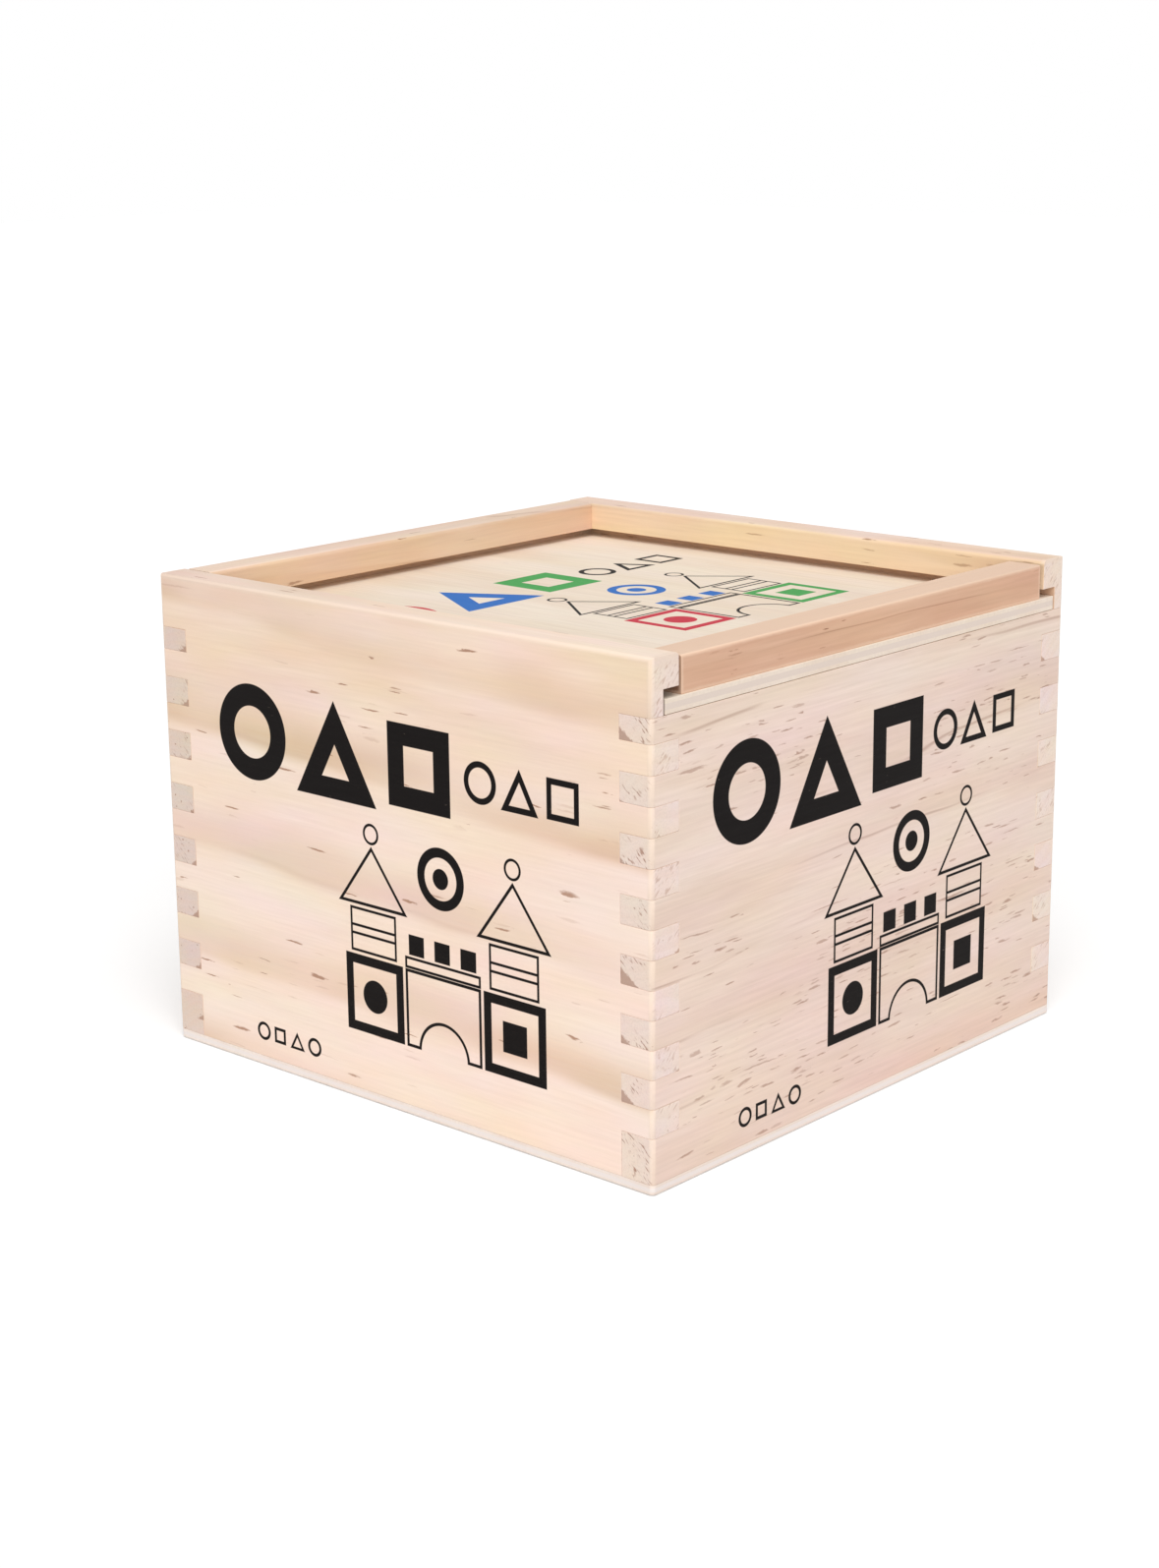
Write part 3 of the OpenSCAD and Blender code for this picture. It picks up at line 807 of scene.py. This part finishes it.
# %% [markdown]
# ## Crisp joints between the fingers
# The boards meet with no gap in the CAD, as glued joints do. Real fingers still have tiny eased
# edges, which catch the light and draw each joint as a fine line. A Bevel modifier of a seventh
# of a millimetre adds them, after the mesh's doubled points are welded and its flat faces are
# joined.

# %% Ease the sharp edges of the boards
EASED_WIDTH, WELD_DISTANCE = 0.00014, 1e-6
FLAT_ANGLE, SHARP_ANGLE = math.radians(0.5), math.radians(40)
EASED_BOARDS = (*WALLS, "bottom_panel", "lid_panel", "lid_rail")
for board_name in EASED_BOARDS:
    modifiers = nodes[board_name].modifiers
    weld = modifiers.new("weld", "WELD")
    weld.merge_threshold = WELD_DISTANCE
    flat = modifiers.new("join flat faces", "DECIMATE")
    flat.decimate_type = "DISSOLVE"
    flat.angle_limit = FLAT_ANGLE
    bevel = modifiers.new("eased edges", "BEVEL")
    bevel.width = EASED_WIDTH
    bevel.segments = 2
    bevel.limit_method = "ANGLE"
    bevel.angle_limit = SHARP_ANGLE
    bevel.harden_normals = True
print("edges eased on", len(EASED_BOARDS), "boards")

# %% [markdown]
# ## The plywood lid and bottom
# The panels are thin three-ply. The faces are a smooth, pale, almost figureless veneer. The edges
# show the plies, with the middle one darker, because its grain runs the other way.

# %% The ply edge group
MIDDLE_PLY_HALF = 0.2
FACE_PLY_SHARE, MIDDLE_PLY_SHARE = 0.35, 0.9
ply_edge, ply_in, ply_out = start_group("ply edge", {
    "Spot": ("vector", None), "Normal": ("vector", None),
    "Underside": ("value", 0.0), "Thickness": ("value", 3.0)}, {"Mask": "value"})
ply_height = split(ply_edge, ply_in["Spot"])[Z]
ply_share = reckon(
    ply_edge, "DIVIDE", reckon(ply_edge, "SUBTRACT", ply_height, ply_in["Underside"]),
    ply_in["Thickness"])
off_middle = reckon(ply_edge, "ABSOLUTE", reckon(ply_edge, "SUBTRACT", ply_share, 0.5))
middle_ply = reckon(ply_edge, "LESS_THAN", off_middle, MIDDLE_PLY_HALF)
faces_up = split(ply_edge, vector_math(ply_edge, "ABSOLUTE", ply_in["Normal"]))[Z]
feed(ply_edge, ply_out["Mask"], times(
    ply_edge, ramp(ply_edge, faces_up, *UPRIGHT_RANGE),
    ramp(ply_edge, middle_ply, 0.0, 1.0, FACE_PLY_SHARE, MIDDLE_PLY_SHARE)))
tell(ply_edge)

# %% A panel's material
PANEL_ORDER = {X: (X, Y, Z), Y: (Y, X, Z)}
VENEER = dict(
    luck=(200.0, 33.0, 0.0), heart=(0.0, 20.0, -260.0), ring_width=9.0, sway=10.0, lean=0.05,
    figure=0.22, lines=0.0, mottle=0.4, fleck_amount=0.05, fleck_length=5.0, on_end=0.0)
PANELS = {
    "lid_panel": dict(
        grain=Y, underside=94.6, thickness=3.0, inks=LID_INKS, face=tone(244, 230, 213),
        late=tone(238, 220, 200), core=tone(224, 208, 197)),
    "bottom_panel": dict(
        grain=X, underside=0.0, thickness=2.0, inks={}, face=tone(240, 226, 215),
        late=tone(234, 216, 202), core=tone(235, 226, 222)),
}
LID_PRINT_SHIFT, FLAT_SHEET = (0.0, 47.0, 0.0), (1.0, 1.0, 0.0)
TOP_SKIN = 0.2
VENEER_RELIEF = 0.2


def panel_material(name, panel):
    material, tree, spot, normal = start_material(name.replace("_panel", " veneer"))
    board_place = along(tree, spot, PANEL_ORDER[panel["grain"]])
    face, late, core = panel["face"], panel["late"], panel["core"]
    wood = grow(tree, dict(
        VENEER, board=board_place, early=face, late=late, blush=late, fleck=core, end=face))
    plies = use(tree, ply_edge, {
        "Spot": spot, "Normal": normal, "Underside": panel["underside"],
        "Thickness": panel["thickness"]})["Mask"]
    colour = mix(tree, plies, wood["Color"], core)
    if panel["inks"]:
        sheet = vector_math(tree, "ADD", spot, LID_PRINT_SHIFT)
        screens = use(tree, castle, {"Print": vector_math(tree, "MULTIPLY", sheet, FLAT_SHEET)})
        top = panel["underside"] + panel["thickness"] - TOP_SKIN
        on_top = reckon(tree, "GREATER_THAN", split(tree, spot)[Z], top)
        for screen, ink_colour in panel["inks"].items():
            inked = use(tree, ink, {
                "Mask": times(tree, screens[screen], on_top), "Board": board_place})["Mask"]
            colour = mix(tree, inked, colour, ink_colour)
    finish_material(tree, colour, wood["Height"], wood["Roughness"], VENEER_RELIEF)
    return material


for panel_name, panel_row in PANELS.items():
    dress(panel_name, panel_material(panel_name, panel_row))
print("panels dressed: the lid with", len(LID_INKS), "inks")

# %% [markdown]
# ## The rail
# The rail is a strip of a browner board, glued on the panel's front edge as a handle. Its front
# shows one warm tan, and its top is mixed paler where the face looks up.

# %% The rail's pine
# The end tone is dark: painted shade for the narrow gaps between the rail's ends and the side
# walls.
RAIL = dict(
    luck=(520.0, 0.0, 0.0), heart=(0.0, -90.0, 60.0), ring_width=5.2, sway=5.0, lean=0.015,
    figure=0.3, lines=0.4, mottle=0.5, early=tone(221, 181, 154), late=tone(200, 154, 125),
    blush=tone(214, 169, 142), fleck=tone(150, 100, 76), fleck_amount=0.3, fleck_length=7.0,
    end=tone(150, 112, 90))
RAIL_TOP, RAIL_TOP_SHARE, RAIL_TOP_RANGE = tone(240, 212, 188), 0.7, (0.3, 0.9)
RAIL_EDGE, RAIL_EDGE_SHARE, RAIL_REACH, RAIL_RAG = tone(242, 212, 186), 0.4, 0.9, 0.5
RAIL_MIDDLE, RAIL_HALF = (0.0, -65.5, 101.35), (61.0, 4.2, 3.75)


def rail_material():
    material, tree, spot, normal = start_material("rail pine")
    on_end = use(tree, end_grain, {"Normal": normal, "Grain": ALONG[X]})["Mask"]
    wood = grow(tree, dict(RAIL, board=spot, on_end=on_end))
    # The top is mixed paler where the face looks up.
    top = ramp(tree, split(tree, normal)[Z], *RAIL_TOP_RANGE)
    top_wood = mix(tree, RAIL_TOP_SHARE, wood["Color"], RAIL_TOP)
    colour = mix(tree, top, wood["Color"], top_wood)
    edge_band = use(tree, edges, {
        "Place": vector_math(tree, "SUBTRACT", spot, RAIL_MIDDLE), "Half Size": RAIL_HALF,
        "Reach": RAIL_REACH, "Ragged": RAIL_RAG})["Mask"]
    colour = mix(tree, times(tree, edge_band, RAIL_EDGE_SHARE), colour, RAIL_EDGE)
    finish_material(tree, colour, wood["Height"], wood["Roughness"])
    return material


dress("lid_rail", rail_material())
print("rail dressed:", 2 * RAIL_HALF[X], "mm long")

# %% [markdown]
# ## The cubes
# Each cube is sawn from pale pine, tumbled until its edges are round, and routed with a frame on
# each face and a character on two. Paint fills the routing. The routing is real geometry, so the
# paint only has to know how deep a point lies: half a millimetre under a face, and inside the
# frame's reach. Folding the coordinates by the pitch of the cubes lets one material serve a
# whole colour.

# %% Where a point lies in its own cube
CUBE_PITCH = (30.8, 30.8, 30.0)
CUBE_START = (61.6, 61.6, -2.0)
CUBE_HALF = 15.0
fold, fold_in, fold_out = start_group(
    "cube place", {"Spot": ("vector", None)}, {"Place": "vector"})
stepped = vector_math(
    fold, "DIVIDE", vector_math(fold, "ADD", fold_in["Spot"], CUBE_START), CUBE_PITCH)
inside = vector_math(
    fold, "SUBTRACT", vector_math(fold, "FRACTION", stepped), (0.5, 0.5, 0.5))
feed(fold, fold_out["Place"], vector_math(fold, "MULTIPLY", inside, CUBE_PITCH))
tell(fold)

# %% Paint that lies in the routing
PAINT_DEPTHS, FRAME_REACH = (0.16, 0.06), 12.2
SCUFF_SCALE, SCUFF_RANGE = 0.9, (0.25, 0.36, 0.55, 1.0)
routed, routed_in, routed_out = start_group(
    "routed paint", {"Place": ("vector", None)}, {"Mask": "value"})
reach = split(routed, vector_math(routed, "ABSOLUTE", routed_in["Place"]))
highest = reckon(routed, "MAXIMUM", reckon(routed, "MAXIMUM", reach[X], reach[Y]), reach[Z])
lower = second_largest(routed, reach)
under_face = ramp(
    routed, highest, *(CUBE_HALF - depth for depth in PAINT_DEPTHS), 1.0, 0.0)
in_frame = reckon(routed, "LESS_THAN", lower, FRAME_REACH)
scuff = noise(routed, routed_in["Place"], 4.0, SCUFF_SCALE)[0]
kept = ramp(routed, scuff, *SCUFF_RANGE)
feed(routed, routed_out["Mask"], times(routed, under_face, in_frame, kept))
tell(routed)

# %% A cube's material in one paint
CUBE = dict(
    heart=(0.0, 60.0, 400.0), ring_width=4.2, sway=9.0, lean=0.02, figure=0.5, lines=0.1,
    late=tone(218, 180, 140), blush=tone(234, 206, 178), fleck=tone(160, 120, 92),
    fleck_amount=0.2, fleck_length=5.0, end=tone(218, 194, 168))
PALE_CUBE, WARM_CUBE, WORN_CUBE = tone(240, 218, 192), tone(232, 204, 172), tone(247, 229, 205)
LUCK_JUMP = (900.0, 370.0, 530.0)
WORN_SHARE, WORN_REACH, WORN_RAG = 0.35, 1.6, 0.9
PAINT_STREAK, PAINT_FILL, PAINT_GLOSS = 0.12, 0.7, 0.2


def cube_material(name, paint):
    material, tree, spot, normal = start_material(name)
    luck = place(tree, "ObjectInfo").outputs["Random"]
    jump = vector_math(tree, "MULTIPLY", gather(tree, luck, luck, luck), LUCK_JUMP)
    on_end = use(tree, end_grain, {"Normal": normal, "Grain": ALONG[X]})["Mask"]
    wood = grow(tree, dict(
        CUBE, board=spot, luck=jump, early=mix(tree, luck, PALE_CUBE, WARM_CUBE), on_end=on_end))
    own = use(tree, fold, {"Spot": spot})["Place"]
    worn_edge = use(tree, edges, {
        "Place": own, "Half Size": (CUBE_HALF,) * 3, "Reach": WORN_REACH,
        "Ragged": WORN_RAG})["Mask"]
    colour = mix(tree, times(tree, worn_edge, WORN_SHARE), wood["Color"], WORN_CUBE)
    painted = use(tree, routed, {"Place": own})["Mask"]
    colour = mix(tree, painted, colour, mix(tree, PAINT_STREAK, paint, wood["Color"]))
    open_grain = reckon(tree, "SUBTRACT", 1.0, times(tree, painted, PAINT_FILL))
    rough = reckon(tree, "SUBTRACT", wood["Roughness"], times(tree, painted, PAINT_GLOSS))
    finish_material(tree, colour, times(tree, wood["Height"], open_grain), rough)
    return material


PAINTS = {
    "block_red": tone(205, 50, 56),
    "block_blue": tone(38, 100, 182),
    "block_green": tone(62, 152, 76),
}
cube_materials = [
    cube_material(slot.replace("block_", "cube painted "), paint)
    for slot, paint in PAINTS.items()]
CUBE_COUNT, PER_ROW = 48, 4
for cube in range(CUBE_COUNT):
    column, row, layer = cube % PER_ROW, cube // PER_ROW % PER_ROW, cube // PER_ROW ** 2
    dress(f"block_{cube + 1:02d}", cube_materials[(column + row + layer) % len(PAINTS)])
print("cubes dressed:", CUBE_COUNT, "in", len(PAINTS), "paints")

# %% [markdown]
# ## Floor, backdrop and light
# The set stands on plain white paper. To the camera the paper is white wherever nothing shades
# it, and a share of what it shows is its own steady white, so the shadow stays faint.
# The sky is white to the camera too. For every other ray it is a soft grey-white that fills the
# shadows, and two suns do the rest, one low and one high. They stand nearly behind the camera,
# so most of the shadow hides behind the box and only its soft rim peeks out on both sides. A sun
# lights the whole floor alike, and a wide angle makes its shadow as soft as a studio lamp's.

# %% The floor
FLOOR_HALF, FLOOR_Z = 3.0, -0.0002
floor_mesh = bpy.data.meshes.new("paper")
floor_mesh.from_pydata(
    [(x * FLOOR_HALF, y * FLOOR_HALF, FLOOR_Z) for x, y in ((-1, -1), (1, -1), (1, 1), (-1, 1))],
    [], [(0, 1, 2, 3)])
floor = bpy.data.objects.new("paper_floor", floor_mesh)
bpy.context.scene.collection.objects.link(floor)
print("floor of", 2 * FLOOR_HALF, "m")

# %% White paper
PURE_WHITE = (1.0, 1.0, 1.0, 1.0)
SHADED_WHITE, BOUNCED_WHITE = (0.88, 0.88, 0.88, 1.0), (0.8, 0.8, 0.8, 1.0)
STEADY_WHITE = 0.19


def seen_directly(tree):
    ray = place(tree, "LightPath").outputs
    direct = reckon(tree, "MAXIMUM", ray["Is Camera Ray"], ray["Is Transmission Ray"])
    return reckon(tree, "MAXIMUM", direct, ray["Is Glossy Ray"])


def by_ray(tree, end_kind, bounced, seen):
    end = place(tree, end_kind)
    feed(tree, end.inputs["Surface"], place(tree, "MixShader", {
        0: seen_directly(tree), 1: bounced, 2: seen}).outputs[0])


paper = bpy.data.materials.new("white paper")
paper_tree = empty_tree(paper)
shaded_paper = place(paper_tree, "BsdfDiffuse", {"Color": SHADED_WHITE}).outputs[0]
steady_paper = place(
    paper_tree, "Emission", {"Color": PURE_WHITE, "Strength": STEADY_WHITE}).outputs[0]
seen_paper = place(paper_tree, "AddShader", {0: shaded_paper, 1: steady_paper}).outputs[0]
bounce_paper = place(paper_tree, "BsdfDiffuse", {"Color": BOUNCED_WHITE}).outputs[0]
by_ray(paper_tree, "OutputMaterial", bounce_paper, seen_paper)
floor_mesh.materials.append(paper)
print("paper:", len(paper_tree.nodes), "nodes")

# %% The sky
SKY_LEVEL, SEEN_LEVEL = 0.5, 1.0
world = bpy.data.worlds.new("studio")
bpy.context.scene.world = world
sky = empty_tree(world)
by_ray(sky, "OutputWorld", *(
    place(sky, "Background", {"Color": PURE_WHITE, "Strength": level}).outputs[0]
    for level in (SKY_LEVEL, SEEN_LEVEL)))
print("sky:", len(sky.nodes), "nodes")

# %% Two broad, soft suns
LAMPS = {
    "front lamp": ((-0.66, -0.63, 0.41), 1.15, 50),
    "top lamp": ((-0.33, -0.33, 0.88), 1.15, 35),
}
for lamp_name, (lamp_from, lamp_strength, lamp_angle) in LAMPS.items():
    lamp = bpy.data.lights.new(lamp_name, "SUN")
    lamp.energy = lamp_strength
    lamp.angle = math.radians(lamp_angle)
    holder = bpy.data.objects.new(lamp_name, lamp)
    holder.rotation_euler = Vector(lamp_from).to_track_quat("Z", "Y").to_euler()
    bpy.context.scene.collection.objects.link(holder)
print("lamps:", {name: row[1] for name, row in LAMPS.items()})

# %% [markdown]
# ## The camera
# The box's seven visible corners in the picture fix where the photographer stood: about 50 cm
# from the front left corner, 10 cm above the lid, with a lens a little longer than normal. The
# picture is taller than wide, and Blender then measures the sensor along the height.

# %% Set the camera
EYE, AHEAD, UPWARD = (
    (-0.44211, -0.38795, 0.21024), (0.71815, 0.64833, -0.25284), (0.19467, 0.16167, 0.96745))
FOCAL_PIXELS, PICTURE_HEIGHT = 2776.2, 1595
SENSOR, NEAREST = 36.0, 0.01
eye, ahead = Vector(EYE), Vector(AHEAD).normalized()
rightward = ahead.cross(Vector(UPWARD)).normalized()
upward = rightward.cross(ahead)
camera_data = bpy.data.cameras.new("camera")
camera_data.sensor_width = SENSOR
camera_data.lens = FOCAL_PIXELS / PICTURE_HEIGHT * SENSOR
camera_data.clip_start = NEAREST
camera = bpy.data.objects.new("camera", camera_data)
camera.matrix_world = Matrix((
    (rightward.x, upward.x, -ahead.x, eye.x),
    (rightward.y, upward.y, -ahead.y, eye.y),
    (rightward.z, upward.z, -ahead.z, eye.z),
    (0.0, 0.0, 0.0, 1.0)))
bpy.context.scene.collection.objects.link(camera)
bpy.context.scene.camera = camera
bpy.context.scene.view_settings.view_transform = "Standard"
print("camera lens:", round(camera_data.lens, 2), "mm")
